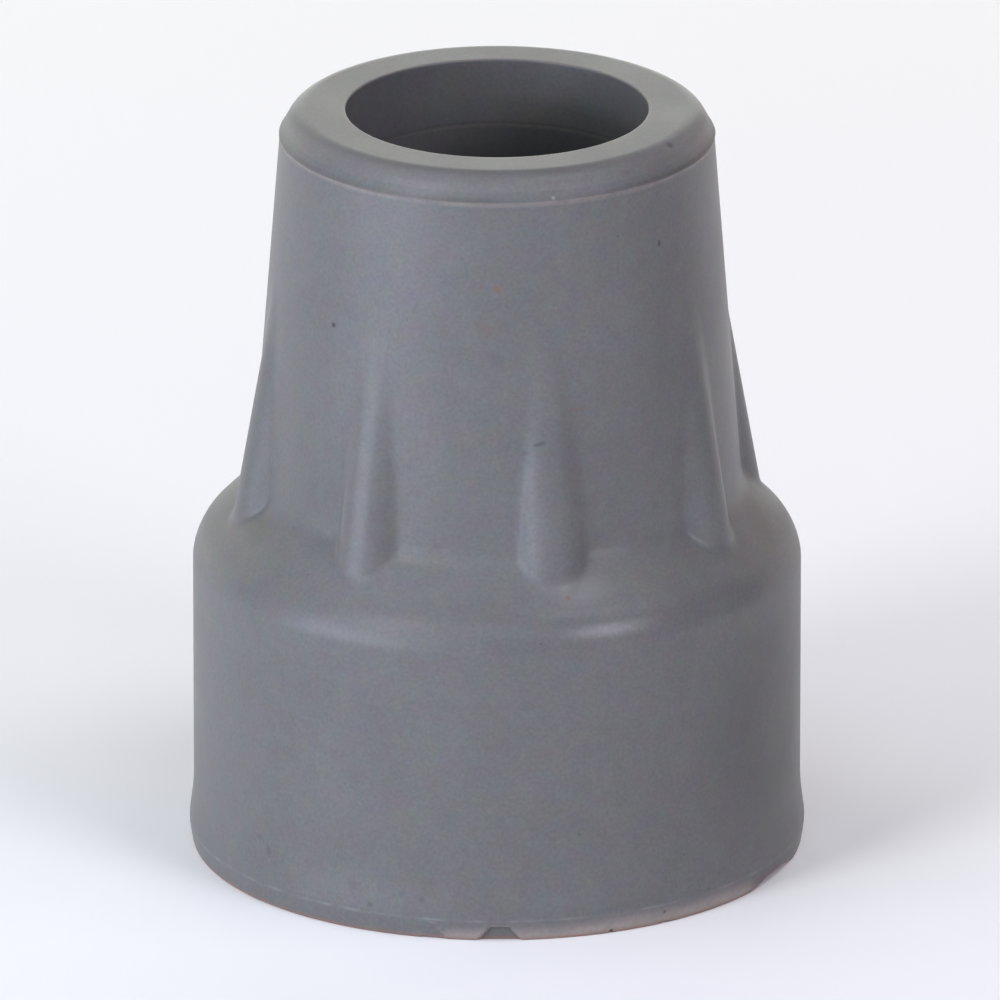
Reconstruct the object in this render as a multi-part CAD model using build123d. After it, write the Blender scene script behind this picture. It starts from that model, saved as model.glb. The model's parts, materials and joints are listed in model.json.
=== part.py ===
from build123d import *

import math
import os

# Rubber cane tip, moulded in one piece. It stands on its tread at Z = 0 with its axis on Z,
# and the cane shaft is pushed into the bore from above.
# Driving dimensions are in millimetres, angles in degrees.

# Socket for the cane shaft
bore_diameter = 19.0
sole_thickness = 10.0
mouth_chamfer = 0.3
bore_floor_chamfer = 1.0

# Fine ring mark that the mould core leaves inside the bore
ring_drop = 4.4
ring_width = 0.25
ring_depth = 0.1

# Rim round the mouth: a flat top, a rounded corner and a bevel down to a crisp outer edge
rim_wall = 4.22
rim_rise = 1.68
rim_bevel_width = 0.97
rim_corner_radius = 1.35

# Neck, a cone that widens downwards
neck_height = 23.0
neck_taper = 4.28

# Shoulder between the neck and the base
shoulder_width = 3.76
shoulder_slope = 45.2
shoulder_root_radius = 1.82
shoulder_edge_radius = 3.3

# Base, with a foot that flares to a parting line and draws in again to the sole
base_height = 20.1
lip_height = 1.34
lip_flare = 0.3
flare_height = 2.35
foot_draw_in = 0.22

# Grip ribs: round bars that lean out of the neck and run out into the shoulder
rib_count = 8
rib_radius = 2.28
rib_lean = 10.3
rib_drop = 10.6

# Tread: ring grooves in the sole
tread_border = 2.6
tread_groove_width = 1.8
tread_groove_depth = 1.5
tread_land_width = 2.8
tread_centre_radius = 4.0

# How far a cut runs past the face that it opens
cut_overrun = 1.0

# Radii and heights that follow from the driving dimensions
bore_radius = bore_diameter / 2
rim_edge_radius = bore_radius + rim_wall
neck_spread = math.tan(math.radians(neck_taper))
neck_foot_radius = rim_edge_radius + neck_height * neck_spread
base_radius = neck_foot_radius + shoulder_width
lip_radius = base_radius + lip_flare
foot_radius = lip_radius - foot_draw_in
shoulder_height = base_height + shoulder_width * math.tan(math.radians(shoulder_slope))
rim_edge_height = shoulder_height + neck_height
total_height = rim_edge_height + rim_rise


def revolve_outline(corners):
    """Turn a closed half-section about Z. Each corner is (radius, height, corner radius)."""
    points = [(radius, 0, height) for radius, height, _ in corners]
    rounding = [corner_radius for _, _, corner_radius in corners]
    outline = FilletPolyline(*points, radius=rounding, close=True)
    return revolve(make_face(outline), axis=Axis.Z)


def make_body():
    """The moulding without its ribs, bore and tread."""
    return revolve_outline(
        [
            (0, 0, 0),
            (foot_radius, 0, 0),
            (lip_radius, lip_height, 0),
            (base_radius, lip_height + flare_height, 0),
            (base_radius, base_height, shoulder_edge_radius),
            (neck_foot_radius, shoulder_height, shoulder_root_radius),
            (rim_edge_radius, rim_edge_height, 0),
            (rim_edge_radius - rim_bevel_width, total_height, rim_corner_radius),
            (0, total_height, 0),
        ]
    )


def make_rib():
    """One bar along +X. Its crest leaves the neck rib_drop below the rim's edge."""
    lean = math.radians(rib_lean)
    down_the_crest = Vector(math.sin(lean), 0, -math.cos(lean))
    towards_the_axis = Vector(-math.cos(lean), 0, -math.sin(lean))
    crest_top = Vector(rim_edge_radius + rib_drop * neck_spread, 0, rim_edge_height - rib_drop)
    buried_start = crest_top - down_the_crest * rib_radius + towards_the_axis * rib_radius
    crest_length = (crest_top.Z - base_height) / math.cos(lean)
    section = Plane(origin=buried_start, z_dir=down_the_crest) * Circle(rib_radius)
    return extrude(section, amount=rib_radius + crest_length)


def make_bore():
    """The socket that is cut from the rim down to the sole, with a broken mouth edge and its ring mark."""
    socket = revolve_outline(
        [
            (0, sole_thickness, 0),
            (bore_radius - bore_floor_chamfer, sole_thickness, 0),
            (bore_radius, sole_thickness + bore_floor_chamfer, 0),
            (bore_radius, total_height - mouth_chamfer, 0),
            (bore_radius + mouth_chamfer + cut_overrun, total_height + cut_overrun, 0),
            (0, total_height + cut_overrun, 0),
        ]
    )
    ring_top = total_height - ring_drop
    ring = revolve_outline(
        [
            (0, ring_top - ring_width, 0),
            (bore_radius, ring_top - ring_width, 0),
            (bore_radius + ring_depth, ring_top - ring_width / 2, 0),
            (bore_radius, ring_top, 0),
            (0, ring_top, 0),
        ]
    )
    return socket + ring


def make_tread_groove(outer_radius):
    """One ring groove, cut upwards into the sole."""
    inner_radius = outer_radius - tread_groove_width
    return revolve_outline(
        [
            (inner_radius, -cut_overrun, 0),
            (outer_radius, -cut_overrun, 0),
            (outer_radius, tread_groove_depth, 0),
            (inner_radius, tread_groove_depth, 0),
        ]
    )


cane_tip = make_body()
cane_tip += PolarLocations(0, rib_count) * make_rib()
cane_tip -= make_bore()

first_groove_radius = foot_radius - tread_border
groove_pitch = tread_groove_width + tread_land_width
grooved_width = first_groove_radius - tread_centre_radius + tread_land_width
for groove in range(int(grooved_width / groove_pitch)):
    cane_tip -= make_tread_groove(first_groove_radius - groove * groove_pitch)

os.makedirs("parts", exist_ok=True)
export_step(cane_tip, "parts/cane_tip.step")
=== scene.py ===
import json
import math
from typing import NamedTuple

import bmesh
import bpy
from bpy.props import FloatProperty, FloatVectorProperty, IntProperty, PointerProperty
from mathutils import Matrix, Vector, noise
from mathutils.bvhtree import BVHTree


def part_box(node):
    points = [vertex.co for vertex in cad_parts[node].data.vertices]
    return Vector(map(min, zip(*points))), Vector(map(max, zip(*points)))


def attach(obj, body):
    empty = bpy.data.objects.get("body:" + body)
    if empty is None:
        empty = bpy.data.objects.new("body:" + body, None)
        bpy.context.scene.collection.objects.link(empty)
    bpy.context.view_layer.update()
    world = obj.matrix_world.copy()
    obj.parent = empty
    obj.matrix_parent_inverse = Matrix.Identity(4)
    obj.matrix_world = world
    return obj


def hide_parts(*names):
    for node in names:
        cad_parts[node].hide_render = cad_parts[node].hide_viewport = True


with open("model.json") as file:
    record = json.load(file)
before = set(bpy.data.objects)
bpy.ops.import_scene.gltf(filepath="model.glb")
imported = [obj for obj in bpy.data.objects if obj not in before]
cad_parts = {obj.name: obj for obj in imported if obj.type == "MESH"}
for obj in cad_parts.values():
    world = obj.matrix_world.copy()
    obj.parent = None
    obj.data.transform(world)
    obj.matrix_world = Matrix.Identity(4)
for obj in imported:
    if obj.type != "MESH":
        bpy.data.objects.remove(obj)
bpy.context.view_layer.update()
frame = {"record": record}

bl_info = {
    "name": "Rubber cane tip",
    "version": (1, 0, 0),
    "blender": (4, 5, 0),
    "location": "View3D > Sidebar > Cane tip",
    "description": "Models a moulded rubber cane tip over its packed solid and sets a plain studio stage",
    "category": "Object",
}

MM = 0.001
NODE = "cane_tip"
BODY = "root"
PIECE = "moulded_rubber_tip"
AXIS = Vector((0, 0, 1))

# Places that lie closer than this count as one
TOLERANCE = 0.001 * MM

# The foot's band of wear reaches up to this share of the lip's height
FOOT_BAND_SHARE = 1.4

# Most of a noise texture's values lie between these
NOISE_SPAN = (0.3, 0.7)

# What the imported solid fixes: its height, its widest radius at the foot's lip, and its socket
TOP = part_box(NODE)[1].z
LIP_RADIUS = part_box(NODE)[1].x
BORE_RADIUS = next(m["dims"]["r_mm"] for m in frame["record"]["mounts"] if m["kind"] == "bore") * MM


def linear(hex_colour):
    """An sRGB hex colour as linear red, green, blue and alpha."""
    channels = [int(hex_colour[place:place + 2], 16) / 255 for place in (1, 3, 5)]
    straight = [c / 12.92 if c <= 0.04045 else ((c + 0.055) / 1.055) ** 2.4 for c in channels]
    return (*straight, 1.0)


def length(name, description, millimetres):
    """A length property, given in millimetres and kept in metres."""
    return FloatProperty(name=name, description=description, default=millimetres * MM, unit="LENGTH")


def angle(name, description, degrees):
    """An angle property, given in degrees and kept in radians."""
    return FloatProperty(name=name, description=description, default=math.radians(degrees), subtype="ANGLE")


def colour(name, description, hex_colour):
    """A colour property, given as sRGB hex and kept linear."""
    return FloatVectorProperty(
        name=name,
        description=description,
        default=linear(hex_colour),
        size=4,
        subtype="COLOR",
        min=0,
        max=1,
    )


def factor(name, description, share):
    """A property that runs from 0 to 1."""
    return FloatProperty(name=name, description=description, default=share, min=0, max=1, subtype="FACTOR")


class TipSizes(bpy.types.PropertyGroup):
    """Sizes of the moulding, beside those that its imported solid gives"""

    rim_wall: length("Rim wall", "Rubber between the socket and the rim's outer edge", 4.22)
    rim_rise: length("Rim rise", "Height of the rim above its outer edge", 1.68)
    rim_bevel_width: length("Rim bevel width", "How far the rim's bevel draws in", 0.97)
    rim_corner_radius: length("Rim corner radius", "Rounding between the bevel and the flat top", 1.35)
    mouth_radius: length("Mouth radius", "Rounding of the socket's mouth", 0.12)
    ring_drop: length("Ring drop", "From the mouth down to the ring mark of the mould's core", 4.2)
    ring_width: length("Ring width", "Width of the ring mark", 0.25)
    ring_depth: length("Ring depth", "Depth of the ring mark", 0.03)
    sole_thickness: length("Sole thickness", "Rubber under the socket", 10.0)
    floor_chamfer: length("Floor chamfer", "Chamfer round the socket's floor", 1.0)
    neck_height: length("Neck height", "From the shoulder's root to the rim's edge", 23.0)
    neck_taper: angle("Neck taper", "How far the neck leans out going down", 4.28)
    shoulder_width: length("Shoulder width", "From the neck's foot out to the base", 3.76)
    shoulder_slope: angle("Shoulder slope", "Slope of the shoulder", 45.2)
    shoulder_root_radius: length("Shoulder root radius", "Hollow between the neck and the shoulder", 1.82)
    shoulder_edge_radius: length("Shoulder edge radius", "Rounding between the shoulder and the base", 3.3)
    lip_height: length("Lip height", "Height of the parting line round the foot", 1.34)
    lip_flare: length("Lip flare", "How far the foot stands out from the base at its lip", 0.3)
    flare_height: length("Flare height", "Height of the flare above the lip", 2.35)
    flare_radius: length("Flare radius", "Soft bend where the flare begins", 12.0)
    lip_radius: length("Lip radius", "Worn round of the lip", 2.5)
    foot_draw_in: length("Foot draw-in", "How far the foot draws in below its lip", 0.22)
    foot_edge_radius: length("Foot edge radius", "Worn round of the sole's edge", 0.15)
    flash_height: length("Flash height", "How far a parting line's flash stands proud", 0.07)
    flash_width: length("Flash width", "Width of a parting line's flash", 0.16)
    rib_count: IntProperty(name="Ribs", description="Grip ribs round the neck", default=8, min=2)
    rib_radius: length("Rib radius", "Radius of a rib's round section", 2.28)
    rib_lean: angle("Rib lean", "How far a rib leans out from the axis", 10.3)
    rib_drop: length("Rib drop", "From the rim's edge to where a rib leaves the neck", 10.6)
    rib_blend: length("Rib blend", "Reach of the soft fillet between a rib and the neck", 0.3)
    tread_border: length("Tread border", "Width of the sole's outer ring", 2.6)
    tread_groove_width: length("Tread groove width", "Width of a ring groove in the sole", 1.8)
    tread_groove_depth: length("Tread groove depth", "Depth of a ring groove in the sole", 1.5)
    tread_land_width: length("Tread land width", "Width of a ring between two grooves", 2.8)
    tread_centre_radius: length("Tread centre radius", "Plain middle of the sole", 4.0)
    rib_rows: length("Rib rows", "Mesh spacing down the ribs and the shoulder", 0.24)
    edge_rows: length("Edge rows", "Mesh spacing beside the parting lines", 0.1)
    holding_rows: length("Holding rows", "From a small edge to the row that holds the wall straight", 0.12)
    plain_rows: length("Plain rows", "Mesh spacing on plain walls", 0.9)
    hidden_rows: length("Hidden rows", "Mesh spacing inside the socket and under the sole", 3.0)
    rib_columns: IntProperty(name="Rib columns", description="Mesh columns for each rib", default=46, min=8)


class RubberLook(bpy.types.PropertyGroup):
    """Colours and finish of the moulded rubber"""

    grey: colour("Grey", "Pigmented rubber", "#626262")
    bloom: colour("Bloom", "Paler cast of the mottled skin", "#6c6c6c")
    # Also carries a painted highlight on the round of the socket's mouth
    wear_and_highlight: colour("Wear", "Paler rubber where the edges have worn", "#a79b94")
    # Dark dirt along the rim's edge and in the specks, and dirt with painted shade in the nicks
    soil_and_shade: colour("Soil", "Dark dirt along the rim's edge and in the nicks", "#45403b")
    mud: colour("Mud", "Reddish dirt along the edge of the sole", "#8a6c5e")
    # Painted shade inside the socket, darker going down and in its ring mark
    core: colour("Core", "Black rubbed off inside the socket", "#1c1b1c")
    trace: colour("Trace", "Pale broken trace of the foot's parting line", "#a9b0aa")
    roughness: factor("Roughness", "Mean roughness of the moulded skin", 0.4)
    burnished: factor("Burnished roughness", "Roughness of the shoulder's burnished edge", 0.3)
    tint: factor("Tint", "Share of the pigment's changes of hue", 0.16)
    grain: factor("Grain", "Share of the grain in the colour", 0.2)
    grain_relief: factor("Grain relief", "Share of the grain in the surface", 0.25)


class StageSetup(bpy.types.PropertyGroup):
    """Camera, lamps and floor of the studio stage"""

    camera_azimuth: angle("Camera azimuth", "Turn of the camera round the tip", -12.9)
    camera_elevation: angle("Camera elevation", "Height of the camera over the horizon", 19.692)
    camera_distance: length("Camera distance", "From the camera to the point that it looks at", 1500.0)
    camera_target: length("Camera target", "Height of the point that the camera looks at", 24.0)
    camera_lens: FloatProperty(name="Lens", description="Focal length in millimetres", default=856.1, min=1)
    shift_right: FloatProperty(name="Shift right", description="Share of the frame's width", default=0.003)
    shift_up: FloatProperty(name="Shift up", description="Share of the frame's width", default=-0.0236)
    floor_size: length("Floor size", "Side of the square floor", 8000.0)
    floor_colour: colour("Floor colour", "Pale matte floor", "#f7f7f7")
    lamp_strength: FloatProperty(name="Lamps", description="Scale of the lamps' power", default=1.0, min=0)


class TipShape:
    """Radii and heights that follow from the sizes, and the half-section that is turned."""

    def __init__(self, sizes):
        self.sizes = sizes
        self.rim_edge_height = TOP - sizes.rim_rise
        self.rim_edge_radius = BORE_RADIUS + sizes.rim_wall
        self.neck_spread = math.tan(sizes.neck_taper)
        self.neck_foot_radius = self.rim_edge_radius + sizes.neck_height * self.neck_spread
        self.shoulder_height = self.rim_edge_height - sizes.neck_height
        self.base_radius = LIP_RADIUS - sizes.lip_flare
        self.base_height = self.shoulder_height - sizes.shoulder_width * math.tan(sizes.shoulder_slope)
        self.foot_radius = LIP_RADIUS - sizes.foot_draw_in
        self.foot_top = sizes.lip_height * FOOT_BAND_SHARE
        self.crest_top = self.rim_edge_height - sizes.rib_drop

    def parting_line(self, radius, height):
        """Corners of a thin flash that stands out as far as its edge's radius."""
        root_radius = radius - self.sizes.flash_height
        half_width = self.sizes.flash_width / 2
        return [
            (root_radius, height + half_width, 0),
            (radius, height, 0),
            (root_radius, height - half_width, 0),
        ]

    def socket_corners(self):
        """From the middle of the socket's floor up to its mouth, as radius, height and rounding."""
        sizes = self.sizes
        ring_top = TOP - sizes.ring_drop
        ring_foot = ring_top - sizes.ring_width
        holding = sizes.holding_rows
        mouth = sizes.mouth_radius
        return [
            (0, sizes.sole_thickness, 0),
            (BORE_RADIUS - sizes.floor_chamfer, sizes.sole_thickness, 0),
            (BORE_RADIUS, sizes.sole_thickness + sizes.floor_chamfer, 0),
            (BORE_RADIUS, ring_foot - holding, 0),
            (BORE_RADIUS, ring_foot, 0),
            (BORE_RADIUS + sizes.ring_depth, ring_top - sizes.ring_width / 2, 0),
            (BORE_RADIUS, ring_top, 0),
            (BORE_RADIUS, ring_top + holding, 0),
            (BORE_RADIUS, TOP - mouth - holding, 0),
            (BORE_RADIUS, TOP, mouth),
            (BORE_RADIUS + mouth + holding, TOP, 0),
        ]

    def wall_corners(self):
        """From the rim's top down the outside to the edge of the sole."""
        sizes = self.sizes
        flat_edge = self.rim_edge_radius - sizes.rim_bevel_width
        bevel_slope = math.atan2(sizes.rim_rise, sizes.rim_bevel_width)
        corner_start = sizes.rim_corner_radius * math.tan(bevel_slope / 2)
        return [
            (flat_edge - corner_start - sizes.holding_rows, TOP, 0),
            (flat_edge, TOP, sizes.rim_corner_radius),
            *self.parting_line(self.rim_edge_radius, self.rim_edge_height),
            (self.neck_foot_radius, self.shoulder_height, sizes.shoulder_root_radius),
            (self.base_radius, self.base_height, sizes.shoulder_edge_radius),
            (self.base_radius, sizes.lip_height + sizes.flare_height, sizes.flare_radius),
            (LIP_RADIUS, sizes.lip_height, sizes.lip_radius),
            (self.foot_radius, 0, sizes.foot_edge_radius),
        ]

    def tread_corners(self):
        """From the outer groove of the sole in to its middle."""
        sizes = self.sizes
        corners = []
        outer = self.foot_radius - sizes.tread_border
        while outer - sizes.tread_groove_width > sizes.tread_centre_radius:
            inner = outer - sizes.tread_groove_width
            depth = sizes.tread_groove_depth
            corners += [(outer, 0, 0), (outer, depth, 0), (inner, depth, 0), (inner, 0, 0)]
            outer = inner - sizes.tread_land_width
        return [*corners, (0, 0, 0)]

    def row_spacing(self, radius, height):
        """How far apart the mesh rows lie at a place on the half-section."""
        sizes = self.sizes
        in_socket = radius < self.rim_edge_radius - sizes.rim_bevel_width * 2
        under_lip = height < sizes.lip_height
        under_sole = under_lip and radius < self.foot_radius - sizes.foot_edge_radius
        if in_socket or under_sole:
            return sizes.hidden_rows
        if height < self.foot_top or abs(height - self.rim_edge_height) < sizes.rim_rise / 2:
            return sizes.edge_rows
        if self.base_height - sizes.rib_radius < height < self.crest_top + sizes.rib_radius:
            return sizes.rib_rows
        return sizes.plain_rows

    def rib_crest(self, height):
        """Radius of a rib's crest at a height."""
        start = self.rim_edge_radius + self.sizes.rib_drop * self.neck_spread
        return start + (self.crest_top - height) * math.tan(self.sizes.rib_lean)

    def rib_softness(self, height):
        """Reach of the fillet beside a rib: longer on the shoulder than on the neck."""
        lead = 1 * MM
        shoulder_gain = 0.5
        on_shoulder = smooth_step(self.shoulder_height + lead, self.base_height + lead, height)
        return self.sizes.rib_blend * (1 + shoulder_gain * on_shoulder)

    def ribbed_radius(self, wall, turn, height):
        """Radius of the skin at an angle from a rib's middle, where the round bar melts into the wall.

        The skin lies where a point's distance from the wall or the bar, softly joined, comes to nothing.
        It is found by halving the span between the wall and the crest.
        """
        bar = self.sizes.rib_radius
        across = math.cos(self.sizes.rib_lean)
        crest = self.rib_crest(height)
        bar_middle = crest - bar / across
        softness = self.rib_softness(height)
        low = wall
        high = max(wall, crest) + self.sizes.rib_blend
        while high - low > TOLERANCE / 2:
            radius = (low + high) / 2
            outwards = radius * math.cos(turn) - bar_middle
            aside = radius * math.sin(turn)
            from_bar = math.hypot(outwards * across, aside) - bar
            if smooth_min(radius - wall, from_bar, softness) < 0:
                low = radius
            else:
                high = radius
        return low

    def rib_half_turn(self, height):
        """Angle from a rib's middle to its foot on the neck, by the law of cosines."""
        height = min(max(height, self.shoulder_height), self.crest_top - self.sizes.rib_radius)
        neck = self.rim_edge_radius + (self.rim_edge_height - height) * self.neck_spread
        middle = self.rib_crest(height) - self.sizes.rib_radius
        return math.acos((neck ** 2 + middle ** 2 - self.sizes.rib_radius ** 2) / (2 * neck * middle))


def smooth_min(first, second, blend):
    """The smaller of two lengths, with a soft change from one to the other."""
    overlap = max(blend - abs(first - second), 0) / blend
    return min(first, second) - overlap ** 2 * blend / 4


def smooth_step(low, high, value):
    """0 at low, 1 at high and a soft change between them; it falls where low is the larger."""
    share = min(max((value - low) / (high - low), 0), 1)
    return share * share * (3 - 2 * share)


def along(line, turn):
    """Value at a turn on a line of (turn, value) pairs."""
    for (first, low), (second, high) in zip(line, line[1:]):
        if first <= turn <= second:
            return low + (high - low) * (turn - first) / (second - first)
    raise ValueError(f"the line stops short of {turn}")


def turn_of(place):
    """Degrees round the tip from the rib that faces -Y, growing to the right as seen from there."""
    return math.degrees(math.atan2(place.x, -place.y))


class Nick(NamedTuple):
    """Rubber torn from the foot. Its turn is in degrees and its sizes are in millimetres.

    The roof's share is the part of the width that lies level, the ramp is how softly the tear goes in, and
    the last share darkens the tear with dirt and painted shade.
    """

    turn: float
    half_width: float
    height: float
    depth: float
    roof_share: float
    ramp: float
    soil_and_shade: float

    def margin(self, turn, height):
        """How far a place on the foot lies under the nick's roof, which slants down at both ends."""
        arc = math.radians(abs(turn - self.turn)) * LIP_RADIUS
        slant = (1 - arc / (self.half_width * MM)) / (1 - self.roof_share)
        return self.height * MM * min(slant, 1) - height


class Mark(NamedTuple):
    """A speck, stain, scratch, patch of painted shade or painted highlight. Its turn and tilt are in
    degrees and its sizes in millimetres.
    """

    turn: float
    height: float
    half_length: float
    half_height: float
    tilt: float
    hex_colour: str
    strength: float


# Each nick's last share darkens it with dirt and painted shade
FOOT_NICKS = (
    Nick(turn=-12.4, half_width=1.43, height=0.97, depth=0.25, roof_share=0.4, ramp=0.15, soil_and_shade=0.12),
    Nick(turn=-24.8, half_width=0.85, height=1.15, depth=0.1, roof_share=0.05, ramp=0.1, soil_and_shade=0.0),
    Nick(turn=53.0, half_width=3.6, height=0.6, depth=0.5, roof_share=0.35, ramp=0.5, soil_and_shade=0.55),
    Nick(turn=8.9, half_width=0.2, height=0.24, depth=0.2, roof_share=0.2, ramp=0.1, soil_and_shade=0.4),
    Nick(turn=20.2, half_width=0.25, height=0.18, depth=0.2, roof_share=0.2, ramp=0.1, soil_and_shade=0.4),
)

MARKS = (
    # A painted highlight on the shoulder, beside the foot of the rib that faces -Y
    Mark(4.5, 22.3, 2.0, 0.8, 0, "#8a8a8c", 0.28),
    # Specks and stains on the neck, and one on the shoulder
    Mark(-58.2, 37.67, 0.17, 0.17, 0, "#2a2a2e", 0.8),
    Mark(-12.9, 41.4, 0.32, 0.2, -20, "#7d5940", 0.6),
    Mark(-15.5, 38.8, 0.6, 0.4, -30, "#70594c", 0.25),
    Mark(-13.1, 36.9, 0.7, 0.45, -30, "#4c4a4c", 0.2),
    Mark(33.6, 42.9, 0.1, 0.22, 0, "#2c2c30", 0.75),
    Mark(7.4, 33.4, 0.9, 0.12, 0, "#7c5450", 0.25),
    Mark(1.9, 21.95, 0.16, 0.14, 0, "#7e4a48", 0.55),
    Mark(-3.0, 31.5, 0.42, 0.13, 20, "#3c3d40", 0.5),
    Mark(-6.2, 30.85, 0.3, 0.14, 25, "#524a56", 0.4),
    # Scratches low on the left of the base
    Mark(-63.8, 4.3, 0.35, 0.25, 0, "#45454c", 0.22),
    Mark(-61.2, 3.6, 0.2, 0.45, 20, "#3c3a3e", 0.32),
    # Darker olive patches on both ends of the shoulder
    Mark(64.8, 22.4, 2.2, 1.0, 25, "#4a4a42", 0.3),
    Mark(-78.9, 22.9, 1.8, 0.8, 0, "#54564f", 0.35),
    # Painted shade down the right of the base and the neck, and mud with painted shade in the foot's chip
    Mark(51.0, 11.0, 6.5, 9.0, 0, "#343230", 0.36),
    Mark(40.0, 36.0, 3.5, 10.0, 0, "#343230", 0.15),
    Mark(50.0, 0.5, 2.2, 0.45, 0, "#6a4c50", 0.5),
    # A pale and a dark dot on the rim
    Mark(2.0, 47.1, 0.13, 0.13, 0, "#a8a8aa", 0.35),
    Mark(45.7, 48.35, 0.3, 0.2, 0, "#404045", 0.6),
    # Specks along the foot
    Mark(-37.1, 1.85, 0.22, 0.16, 0, "#333438", 0.3),
    Mark(-30.9, 2.83, 0.22, 0.2, 0, "#3c3c42", 0.2),
    Mark(-27.0, 2.53, 0.2, 0.18, 0, "#38393e", 0.22),
    Mark(-40.8, 2.9, 0.4, 0.35, 0, "#48484e", 0.18),
    Mark(19.9, 0.82, 0.11, 0.13, 0, "#4b3430", 0.6),
)

# By turn: height in millimetres up to which the foot is worn pale
WEAR_LINE = (
    (-180, -0.6), (-32, -0.5), (-26, 0.2), (-20, 0.6), (-7, 0.7), (-1, 0.7), (5, 0.8), (11, 1.0),
    (23, 0.85), (35, 0.95), (42, 0.7), (47, 0.0), (52, -0.6), (180, -0.6),
)

# By turn: share of dirt along the rim's edge
RIM_SOIL_LINE = (
    (-180, 0.3), (-98, 0.4), (-60, 0.25), (-40, 0.25), (-20, 0.45), (-5, 0.15), (10, 0.25), (32, 0.45),
    (50, 0.7), (62, 0.7), (80, 0.45), (180, 0.3),
)

# By turn: share of burnish along the shoulder's edge
BURNISH_LINE = (
    (-180, 0.0), (-72, 0.0), (-58, 0.15), (-28, 0.15), (-18, 0.1), (-2, 1.0), (35, 1.0), (60, 0.0),
    (180, 0.0),
)

# By turn: share of painted shade deep in the socket
SOCKET_SHADE_LINE = ((-180, 0.75), (-160, 0.4), (-120, 0.4), (-60, 0.8), (60, 1.0), (150, 1.0), (180, 0.75))


def draw_half_section(mesh, shape):
    """Draw the half-section as a wire, round its corners and divide it into rows."""
    fewest_segments = 4
    circular_profile = 0.5
    corners = [*shape.socket_corners(), *shape.wall_corners(), *shape.tread_corners()]
    places = [Vector((radius, 0, height)) for radius, height, _ in corners]
    points = [mesh.verts.new(place) for place in places]
    for start, end in zip(points, points[1:]):
        mesh.edges.new((start, end))
    for number, (_, _, rounding) in enumerate(corners):
        if rounding == 0:
            continue
        before = places[number - 1] - places[number]
        after = places[number + 1] - places[number]
        turn = math.pi - before.angle(after)
        arc = rounding * turn
        bmesh.ops.bevel(
            mesh,
            geom=[points[number]],
            offset=rounding * math.tan(turn / 2),
            offset_type="OFFSET",
            segments=max(fewest_segments, math.ceil(arc / shape.sizes.rib_rows)),
            profile=circular_profile,
            affect="VERTICES",
            material=-1,
        )
    for edge in list(mesh.edges):
        middle = (edge.verts[0].co + edge.verts[1].co) / 2
        cuts = math.ceil(edge.calc_length() / shape.row_spacing(middle.x, middle.z)) - 1
        if cuts > 0:
            bmesh.ops.subdivide_edges(mesh, edges=[edge], cuts=cuts)


def turn_sector(mesh, shape):
    """Spin the half-section through one rib's share of the turn, with the rib in the middle."""
    sector = math.tau / shape.sizes.rib_count
    bmesh.ops.rotate(mesh, cent=Vector(), matrix=Matrix.Rotation(-sector / 2, 3, AXIS), verts=mesh.verts[:])
    bmesh.ops.spin(
        mesh,
        geom=mesh.verts[:] + mesh.edges[:],
        cent=Vector(),
        axis=AXIS,
        angle=sector,
        steps=shape.sizes.rib_columns,
    )


def raise_rib(mesh, shape):
    """Gather the sector's columns on its rib, with one along its foot, and push the rib out of the wall.

    The rib gets its share of the columns, and the rest crowd towards its foot.
    """
    half_sector = math.pi / shape.sizes.rib_count
    rib_share = 0.62
    crowding = 1.6
    for vertex in mesh.verts:
        radius = vertex.co.xy.length
        height = vertex.co.z
        place = math.atan2(vertex.co.y, vertex.co.x) / half_sector
        foot = shape.rib_half_turn(height)
        if abs(place) <= rib_share:
            turn = foot * place / rib_share
        else:
            beyond = (abs(place) - rib_share) / (1 - rib_share)
            turn = math.copysign(foot + (half_sector - foot) * beyond ** crowding, place)
        if radius > shape.rim_edge_radius and shape.base_height < height < shape.rim_edge_height:
            radius = shape.ribbed_radius(radius, turn, height)
        vertex.co = (radius * math.cos(turn), radius * math.sin(turn), height)


def close_turn(mesh, shape):
    """Repeat the sector round the axis and weld the sectors into one closed skin."""
    copies = shape.sizes.rib_count - 1
    bmesh.ops.spin(
        mesh,
        geom=mesh.verts[:] + mesh.edges[:] + mesh.faces[:],
        cent=Vector(),
        axis=AXIS,
        angle=math.tau * copies / shape.sizes.rib_count,
        steps=copies,
        use_duplicate=True,
    )
    bmesh.ops.remove_doubles(mesh, verts=mesh.verts[:], dist=TOLERANCE)


def refine_nicks(mesh, shape):
    """Divide the foot's columns where it is nicked, so that the torn edges come out crisp."""
    beside_nick = 0.4 * MM
    cuts_in_a_column = 3
    outside_radius = shape.foot_radius - shape.sizes.foot_edge_radius * 2
    columns = []
    for edge in mesh.edges:
        first, second = (vertex.co for vertex in edge.verts)
        level = abs(first.z - second.z) < TOLERANCE
        outside = min(first.xy.length, second.xy.length) > outside_radius
        if not level or not outside or first.z > shape.sizes.lip_height:
            continue
        turn = turn_of((first + second) / 2)
        for nick in FOOT_NICKS:
            reach = math.degrees((nick.half_width * MM + beside_nick) / LIP_RADIUS)
            if abs(turn - nick.turn) < reach:
                columns.append(edge)
                break
    bmesh.ops.subdivide_edges(mesh, edges=columns, cuts=cuts_in_a_column, use_grid_fill=True)


class SkinLayers(NamedTuple):
    """Vertex layers that tell the material what has happened to the skin and where shade and a highlight
    are painted, as shares from 0 to 1.
    """

    wear_and_highlight: bmesh.types.BMLayerItem
    soil_and_shade: bmesh.types.BMLayerItem
    mud: bmesh.types.BMLayerItem
    core: bmesh.types.BMLayerItem
    trace: bmesh.types.BMLayerItem
    burnish: bmesh.types.BMLayerItem


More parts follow.
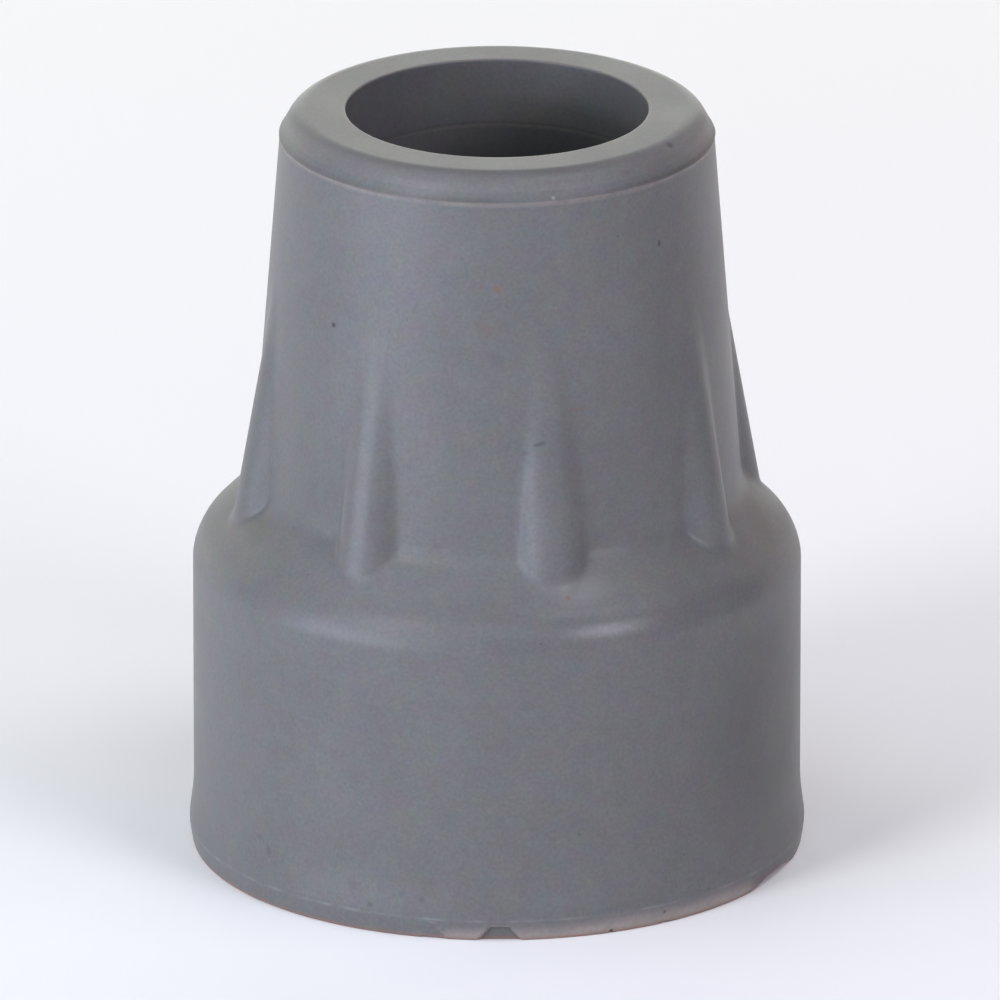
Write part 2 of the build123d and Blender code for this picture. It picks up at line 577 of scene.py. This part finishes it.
def shade_socket(vertex, layers, sizes):
    """Paint shade into the socket, darker going down and in its ring mark, and paint a highlight on the
    round of its mouth.
    """
    shade_start = TOP - 2.6 * MM
    shade_end = TOP - 5.6 * MM
    shade_at_mouth = 0.15
    shade_gain = 0.65
    shade_in_ring = 0.6
    mouth_highlight = 0.35
    full_highlight_share = 0.25
    radius = vertex.co.xy.length
    height = vertex.co.z
    deep = smooth_step(shade_start, shade_end, height)
    vertex[layers.core] = shade_at_mouth + shade_gain * deep * along(SOCKET_SHADE_LINE, turn_of(vertex.co))
    # Painted shade in the ring mark
    if radius > BORE_RADIUS + sizes.ring_depth / 2 and height < TOP - sizes.mouth_radius:
        vertex[layers.core] = shade_in_ring
    # A painted highlight on the round of the mouth, laid with the worn rubber's colour
    round_share = (radius - BORE_RADIUS) / sizes.mouth_radius
    vertex[layers.wear_and_highlight] = mouth_highlight * smooth_step(0, full_highlight_share, round_share)


def burnish_shoulder(vertex, layers, shape):
    """Note the band along the shoulder's edge that handling has burnished."""
    rise = (-1.9 * MM, -0.9 * MM)
    fall = (1.5 * MM, 0.8 * MM)
    over_edge = vertex.co.z - shape.base_height
    band = smooth_step(*rise, over_edge) * smooth_step(*fall, over_edge)
    vertex[layers.burnish] = band * along(BURNISH_LINE, turn_of(vertex.co))


def wear_rim(vertex, layers, shape, patch):
    """Note dirt above the rim's edge and worn rubber under it, and give back how far its flash has worn in.
    """
    edge_reach = 0.6 * MM
    soil_rise = (0, 0.1 * MM)
    soil_fall = (0.45 * MM, 0.15 * MM)
    wear_rise = (-0.3 * MM, -0.1 * MM)
    wear_fall = (0.08 * MM, 0)
    least_wear = 0.13
    patch_wear = 0.26
    bevel_wear = 0.07
    flash_patches = (-0.6, 0.2)
    flash_loss_share = 0.8
    flash_reach = 0.01 * MM
    over_edge = vertex.co.z - shape.rim_edge_height
    if over_edge >= edge_reach:
        vertex[layers.wear_and_highlight] = bevel_wear
    if abs(over_edge) >= edge_reach:
        return 0
    held = smooth_step(*soil_rise, over_edge) * smooth_step(*soil_fall, over_edge)
    rubbed = smooth_step(*wear_rise, over_edge) * smooth_step(*wear_fall, over_edge)
    presence = smooth_step(*flash_patches, patch)
    vertex[layers.soil_and_shade] = held * along(RIM_SOIL_LINE, turn_of(vertex.co))
    vertex[layers.wear_and_highlight] = rubbed * (least_wear + patch_wear * presence)
    if abs(over_edge) >= flash_reach:
        return 0
    return shape.sizes.flash_height * (1 - presence) * flash_loss_share


def wear_foot(vertex, layers, shape, patch):
    """Note worn rubber, mud, the parting line's trace, and dirt with painted shade in the nicks on the
    foot, and give back how far a nick goes in.
    """
    if vertex.co.z >= shape.foot_top:
        return 0
    fade = 0.6 * MM
    mean_wear = 0.72
    patch_wear = 0.15
    trace_fall = (0.12 * MM, 0.03 * MM)
    mean_mud = 0.8
    patch_mud = 0.4
    mud_fall = (0.34 * MM, 0.1 * MM)
    mud_wander = 0.08 * MM
    torn_edge_wear = 0.3
    torn_edge_place = -0.05 * MM
    torn_edge_reach = 0.12 * MM
    nick_start = -0.03 * MM
    height = vertex.co.z
    turn = turn_of(vertex.co)
    worn_height = along(WEAR_LINE, turn) * MM
    worn = smooth_step(worn_height + fade, worn_height - fade, height)
    vertex[layers.wear_and_highlight] = worn * (mean_wear + patch_wear * patch)
    vertex[layers.trace] = smooth_step(*trace_fall, abs(height - shape.sizes.lip_height))
    muddy = smooth_step(*mud_fall, height + mud_wander * patch)
    vertex[layers.mud] = (mean_mud + patch_mud * patch) * muddy
    inwards = 0
    for nick in FOOT_NICKS:
        margin = nick.margin(turn, height)
        inside = smooth_step(nick_start, nick.ramp * MM, margin)
        inwards = max(inwards, inside * nick.depth * MM)
        # Dirt and painted shade inside the nick
        vertex[layers.soil_and_shade] = max(vertex[layers.soil_and_shade], inside * nick.soil_and_shade)
        torn = 1 - min(abs(margin - torn_edge_place) / torn_edge_reach, 1)
        vertex[layers.wear_and_highlight] = max(vertex[layers.wear_and_highlight] * (1 - inside), torn * torn_edge_wear)
    return inwards


def wear_and_shade_skin(mesh, shape):
    """Tear the foot's nicks, thin out the rim's flash, and note where the skin is worn or dirty and where
    shade and a highlight are painted.
    """
    layers = SkinLayers(*(mesh.verts.layers.float.new(name) for name in SkinLayers._fields))
    rounding_slack = 1.01
    socket_reach = BORE_RADIUS + shape.sizes.mouth_radius * rounding_slack
    patch_size = 1.5 * MM
    for vertex in mesh.verts:
        radius = vertex.co.xy.length
        if radius >= socket_reach:
            patch = noise.noise(vertex.co / patch_size)
            burnish_shoulder(vertex, layers, shape)
            inwards = max(wear_rim(vertex, layers, shape, patch), wear_foot(vertex, layers, shape, patch))
            vertex.co.xy *= (radius - inwards) / radius
        elif vertex.co.z > shape.sizes.sole_thickness / 2:
            shade_socket(vertex, layers, shape.sizes)


def finish_skin(mesh):
    """Turn the faces outwards and shade them smooth, with the crisp edges kept."""
    bmesh.ops.recalc_face_normals(mesh, faces=mesh.faces[:])
    for face in mesh.faces:
        face.smooth = True
    crisp_angle = math.radians(32)
    for edge in mesh.edges:
        edge.smooth = edge.calc_face_angle() < crisp_angle


def add_node(tree, kind, output, inputs, **settings):
    """Add a node with its settings and with values or links for its inputs, and give back one output."""
    node = tree.nodes.new(kind)
    for name, value in settings.items():
        setattr(node, name, value)
    for socket in node.inputs:
        value = inputs.get(socket.identifier)
        if isinstance(value, bpy.types.NodeSocket):
            tree.links.new(value, socket)
        elif value is not None:
            socket.default_value = value
    return next((socket for socket in node.outputs if socket.identifier == output), None)


def add_noise(tree, place, patch_size, detail, output="Fac", roughness=0.5):
    """Noise over the skin, in patches of about the given size."""
    inputs = {"Vector": place, "Scale": 1 / patch_size, "Detail": detail, "Roughness": roughness}
    return add_node(tree, "ShaderNodeTexNoise", output, inputs)


def stretch(tree, value, span, results):
    """Carry a value from one span over to another, and hold it at the ends."""
    start, end = span
    low, high = results
    inputs = {"Value": value, "From Min": start, "From Max": end, "To Min": low, "To Max": high}
    return add_node(tree, "ShaderNodeMapRange", "Result", inputs)


def lay_over(tree, base, cover, share, blend_type="MIX"):
    """Lay a share of one colour over another."""
    inputs = {"Factor_Float": share, "A_Color": base, "B_Color": cover}
    return add_node(tree, "ShaderNodeMix", "Result_Color", inputs, data_type="RGBA", blend_type=blend_type)


def start_material(name):
    """An empty material and its node tree."""
    material = bpy.data.materials.new(name)
    material.use_nodes = True
    material.node_tree.nodes.clear()
    return material, material.node_tree


def pigment(tree, place, look, patches, grain):
    """Grey rubber with a mottled bloom, faint changes of hue and a fine grain."""
    tint_size = 1.3 * MM
    tints = add_noise(tree, place, tint_size, detail=4.0, output="Color", roughness=0.65)
    base = lay_over(tree, look.grey, look.bloom, patches)
    base = lay_over(tree, base, tints, look.tint, "OVERLAY")
    return lay_over(tree, base, grain, look.grain, "OVERLAY")


def cover_skin(tree, place, look, base):
    """Lay worn rubber, dirt, painted shade in the socket and the nicks, a painted highlight on the socket's
    mouth and the parting line's trace over the pigment.
    """
    # Worn rubber, dirt and the painted shade and highlight in the nicks and on the mouth are broken up by
    # blotches about a third of a millimetre wide
    blotch_size = 0.35 * MM
    blotch_shares = (0.65, 1.0)
    blotches = add_noise(tree, place, blotch_size, detail=4.0)
    broken = stretch(tree, blotches, NOISE_SPAN, blotch_shares)

    # The trace of the parting line comes in dashes one or two millimetres long
    dash_size = 1.5 * MM
    dash_span = (0.42, 0.62)
    dash_shares = (0.04, 0.22)
    gaps = add_noise(tree, place, dash_size, detail=2.0)
    dashes = stretch(tree, gaps, dash_span, dash_shares)

    unbroken = 1.0
    covers = (
        ("wear_and_highlight", look.wear_and_highlight, broken),
        ("soil_and_shade", look.soil_and_shade, broken),
        ("mud", look.mud, broken),
        # The core layer is painted shade in the socket
        ("core", look.core, unbroken),
        ("trace", look.trace, dashes),
    )
    for layer, cover, breakup in covers:
        amount = add_node(tree, "ShaderNodeAttribute", "Fac", {}, attribute_name=layer)
        factors = {"Value": amount, "Value_001": breakup}
        share = add_node(tree, "ShaderNodeMath", "Value", factors, operation="MULTIPLY")
        base = lay_over(tree, base, cover, share)
    return base


def scatter_specks(tree, place, look, base):
    """Scatter sparse specks of dirt, up to a tenth of a millimetre, one to a cell of three millimetres."""
    cell_size = 3 * MM
    speck_size = 0.1 * MM
    speck_strength = 0.8
    cells = {"Vector": place, "Scale": 1 / cell_size}
    from_speck = add_node(tree, "ShaderNodeTexVoronoi", "Distance", cells)
    share = stretch(tree, from_speck, (speck_size / cell_size, 0.0), (0.0, speck_strength))
    return lay_over(tree, base, look.soil_and_shade, share)


def mark_place(skin, mark):
    """Where a mark lies on the skin, found by a level line from outside to the axis."""
    outwards = direction(math.radians(mark.turn), 0)
    start = outwards * LIP_RADIUS * 2 + Vector((0, 0, mark.height * MM))
    return skin.ray_cast(start, -outwards)[0]


def lay_marks(tree, place, skin, base):
    """Lay stains, scratches, painted shade and a painted highlight on the skin, each a soft-edged ellipse.
    """
    soft_edge_shares = (1.3, 0.5)
    for mark in MARKS:
        half_depth = max(mark.half_length, mark.half_height) * MM
        ellipse = {
            "Vector": place,
            "Location": mark_place(skin, mark),
            "Rotation": (math.radians(mark.tilt), 0, math.radians(mark.turn - 90)),
            "Scale": (half_depth, mark.half_length * MM, mark.half_height * MM),
        }
        local = add_node(tree, "ShaderNodeMapping", "Vector", ellipse, vector_type="TEXTURE")
        reach = add_node(tree, "ShaderNodeVectorMath", "Value", {"Vector": local}, operation="LENGTH")
        share = stretch(tree, reach, soft_edge_shares, (0.0, mark.strength))
        base = lay_over(tree, base, linear(mark.hex_colour), share)
    return base


def satin_roughness(tree, look, patches):
    """Roughness that changes a little with the bloom and is lower where the skin is burnished."""
    change = 0.04
    moulded = stretch(tree, patches, NOISE_SPAN, (look.roughness - change, look.roughness + change))
    burnish = add_node(tree, "ShaderNodeAttribute", "Fac", {}, attribute_name="burnish")
    inputs = {"Factor_Float": burnish, "A_Float": moulded, "B_Float": look.burnished}
    return add_node(tree, "ShaderNodeMix", "Result_Float", inputs)


def moulded_grey_rubber(look, skin):
    """Pigmented rubber from a smooth steel mould.

    It gives the eye a satin grey with a faint grain and a little mottling, shinier where handling has
    burnished the shoulder's edge, paler where the foot and the rim have worn, with painted shade inside the
    socket, in the nicks and down the right of the base and the neck, a painted highlight on the shoulder
    and on the socket's mouth, and marked by dirt, stains, scratches and the broken trace of the foot's
    parting line.
    """
    material, tree = start_material("moulded_grey_rubber")
    place = add_node(tree, "ShaderNodeTexCoord", "Object", {})

    # The bloom's patches are some millimetres wide, and the grain is drawn coarser than it is, to show
    bloom_size = 6 * MM
    grain_size = 0.22 * MM
    grain_depth = 0.01 * MM
    patches = add_noise(tree, place, bloom_size, detail=3.0)
    grain = add_noise(tree, place, grain_size, detail=3.0)
    relief = {"Height": grain, "Strength": look.grain_relief, "Distance": grain_depth}

    base = pigment(tree, place, look, patches, grain)
    base = cover_skin(tree, place, look, base)
    base = scatter_specks(tree, place, look, base)
    base = lay_marks(tree, place, skin, base)

    # The bloom dulls the sheen, so the index is lower than solid rubber's
    bloomed_index = 1.34
    surface = {
        "Base Color": base,
        "Roughness": satin_roughness(tree, look, patches),
        "IOR": bloomed_index,
        "Normal": add_node(tree, "ShaderNodeBump", "Normal", relief),
    }
    shader = add_node(tree, "ShaderNodeBsdfPrincipled", "BSDF", surface)
    add_node(tree, "ShaderNodeOutputMaterial", None, {"Surface": shader})
    return material


def matte_pale_floor(stage):
    """Matte white board: it gives the eye only a soft shadow."""
    material, tree = start_material("matte_pale_floor")
    paint = add_node(tree, "ShaderNodeBsdfDiffuse", "BSDF", {"Color": stage.floor_colour})
    add_node(tree, "ShaderNodeOutputMaterial", None, {"Surface": paint})
    return material


class CANETIP_OT_mould_tip(bpy.types.Operator):
    """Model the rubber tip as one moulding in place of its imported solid"""

    bl_idname = "cane_tip.mould_tip"
    bl_label = "Mould the rubber tip"

    def execute(self, context):
        shape = TipShape(context.scene.cane_tip_sizes)
        mesh = bmesh.new()
        draw_half_section(mesh, shape)
        turn_sector(mesh, shape)
        raise_rib(mesh, shape)
        close_turn(mesh, shape)
        refine_nicks(mesh, shape)
        wear_and_shade_skin(mesh, shape)
        finish_skin(mesh)
        skin = BVHTree.FromBMesh(mesh)
        data = bpy.data.meshes.new(PIECE)
        mesh.to_mesh(data)
        mesh.free()
        tip = bpy.data.objects.new(PIECE, data)
        context.scene.collection.objects.link(tip)
        data.materials.append(moulded_grey_rubber(context.scene.cane_tip_look, skin))
        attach(tip, BODY)
        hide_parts(NODE)
        return {"FINISHED"}


def direction(azimuth, elevation):
    """Unit vector from the tip towards a place on the stage; azimuth 0 is in front, along -Y."""
    level = math.cos(elevation)
    return Vector((math.sin(azimuth) * level, -math.cos(azimuth) * level, math.sin(elevation)))


def aim(thing, place, target):
    """Put a camera or a lamp at a place and turn it to a target."""
    thing.location = place
    thing.rotation_euler = (target - place).to_track_quat("-Z", "Y").to_euler()


class Lamp(NamedTuple):
    """A softbox. Its turn is in degrees from the camera, and its place and size are in millimetres.

    A tilted one is aimed at the point that the camera looks at, and the others face the tip's axis level.
    """

    name: str
    turn: float
    distance: float
    height: float
    width: float
    tall: float
    tilted: bool
    watts: float
    hex_colour: str


LAMPS = (
    Lamp("left_window", -56, 400, 60, 340, 120, False, 1.24, "#e2e7ff"),
    Lamp("left_softbox", -45, 600, 450, 200, 300, True, 1.7, "#fafeff"),
    Lamp("left_overhead", -90, 400, 800, 500, 500, True, 1.65, "#eceeff"),
    Lamp("front_softbox", 0, 600, 500, 400, 300, True, 0.74, "#e4f3ff"),
    Lamp("right_softbox", 43, 500, 250, 190, 130, True, 1.06, "#f3edff"),
    Lamp("right_overhead", 50, 250, 700, 200, 200, True, 0.68, "#ecf2ff"),
    Lamp("right_high", 75, 400, 650, 350, 350, True, 0.82, "#fff8f9"),
    Lamp("back_panel", 180, 400, 150, 300, 300, False, 0.6, "#fcfff6"),
    Lamp("back_left_panel", -135, 300, 150, 200, 300, False, 0.25, "#fffdec"),
    Lamp("back_right_panel", 135, 300, 150, 200, 300, False, 0.2, "#ffeee8"),
)


class CANETIP_OT_set_stage(bpy.types.Operator):
    """Set the pale floor, the soft lamps and the camera"""

    bl_idname = "cane_tip.set_stage"
    bl_label = "Set the stage"

    def execute(self, context):
        scene = context.scene
        stage = scene.cane_tip_stage
        self.lay_floor(scene, stage)
        self.light_sky(scene)
        self.hang_lamps(scene, stage)
        self.place_camera(scene, stage)
        scene.view_settings.view_transform = "Standard"
        return {"FINISHED"}

    def lay_floor(self, scene, stage):
        """A square floor under the tip."""
        mesh = bmesh.new()
        bmesh.ops.create_grid(mesh, x_segments=1, y_segments=1, size=stage.floor_size / 2)
        data = bpy.data.meshes.new("pale_floor")
        mesh.to_mesh(data)
        mesh.free()
        floor = bpy.data.objects.new("pale_floor", data)
        scene.collection.objects.link(floor)
        data.materials.append(matte_pale_floor(stage))

    def light_sky(self, scene):
        """A sky that is white to look at and lights nothing, so that the lamps alone model the tip."""
        world = bpy.data.worlds.new("white_studio")
        scene.world = world
        world.use_nodes = True
        tree = world.node_tree
        tree.nodes.clear()
        seen = add_node(tree, "ShaderNodeLightPath", "Is Camera Ray", {})
        white = {"Color": linear("#ffffff"), "Strength": seen}
        sky = add_node(tree, "ShaderNodeBackground", "Background", white)
        add_node(tree, "ShaderNodeOutputWorld", None, {"Surface": sky})

    def hang_lamps(self, scene, stage):
        """Softboxes round the tip, which the camera doesn't see."""
        for lamp in LAMPS:
            data = bpy.data.lights.new(lamp.name, "AREA")
            data.shape = "RECTANGLE"
            data.size = lamp.width * MM
            data.size_y = lamp.tall * MM
            data.energy = lamp.watts * stage.lamp_strength
            data.color = linear(lamp.hex_colour)[:3]
            softbox = bpy.data.objects.new(lamp.name, data)
            softbox.visible_camera = False
            scene.collection.objects.link(softbox)
            place = direction(stage.camera_azimuth + math.radians(lamp.turn), 0) * lamp.distance * MM
            place.z = lamp.height * MM
            target = Vector((0, 0, stage.camera_target if lamp.tilted else place.z))
            aim(softbox, place, target)

    def place_camera(self, scene, stage):
        """A long lens at the photo's angle, with a sensor in millimetres and a far end in metres."""
        sensor_width = 36
        far_end = 20
        data = bpy.data.cameras.new("photo_camera")
        data.sensor_width = sensor_width
        data.lens = stage.camera_lens
        data.shift_x = stage.shift_right
        data.shift_y = stage.shift_up
        data.clip_end = far_end
        camera = bpy.data.objects.new("photo_camera", data)
        scene.collection.objects.link(camera)
        target = Vector((0, 0, stage.camera_target))
        outwards = direction(stage.camera_azimuth, stage.camera_elevation)
        aim(camera, target + outwards * stage.camera_distance, target)
        scene.camera = camera


class CANETIP_PT_sidebar(bpy.types.Panel):
    """Sizes, look and stage of the rubber cane tip"""

    bl_label = "Rubber cane tip"
    bl_idname = "CANETIP_PT_sidebar"
    bl_space_type = "VIEW_3D"
    bl_region_type = "UI"
    bl_category = "Cane tip"

    def draw(self, context):
        groups = (
            (context.scene.cane_tip_sizes, CANETIP_OT_mould_tip.bl_idname),
            (context.scene.cane_tip_look, None),
            (context.scene.cane_tip_stage, CANETIP_OT_set_stage.bl_idname),
        )
        for group, operator in groups:
            box = self.layout.box()
            for name in type(group).__annotations__:
                box.prop(group, name)
            if operator:
                box.operator(operator)


SETTINGS = {"cane_tip_sizes": TipSizes, "cane_tip_look": RubberLook, "cane_tip_stage": StageSetup}
CLASSES = (*SETTINGS.values(), CANETIP_OT_mould_tip, CANETIP_OT_set_stage, CANETIP_PT_sidebar)


def register():
    for cls in CLASSES:
        bpy.utils.register_class(cls)
    for name, group in SETTINGS.items():
        setattr(bpy.types.Scene, name, PointerProperty(type=group))


def unregister():
    for name in SETTINGS:
        delattr(bpy.types.Scene, name)
    for cls in reversed(CLASSES):
        bpy.utils.unregister_class(cls)


def main():
    register()
    bpy.ops.cane_tip.mould_tip()
    bpy.ops.cane_tip.set_stage()


if __name__ == "__main__":
    main()
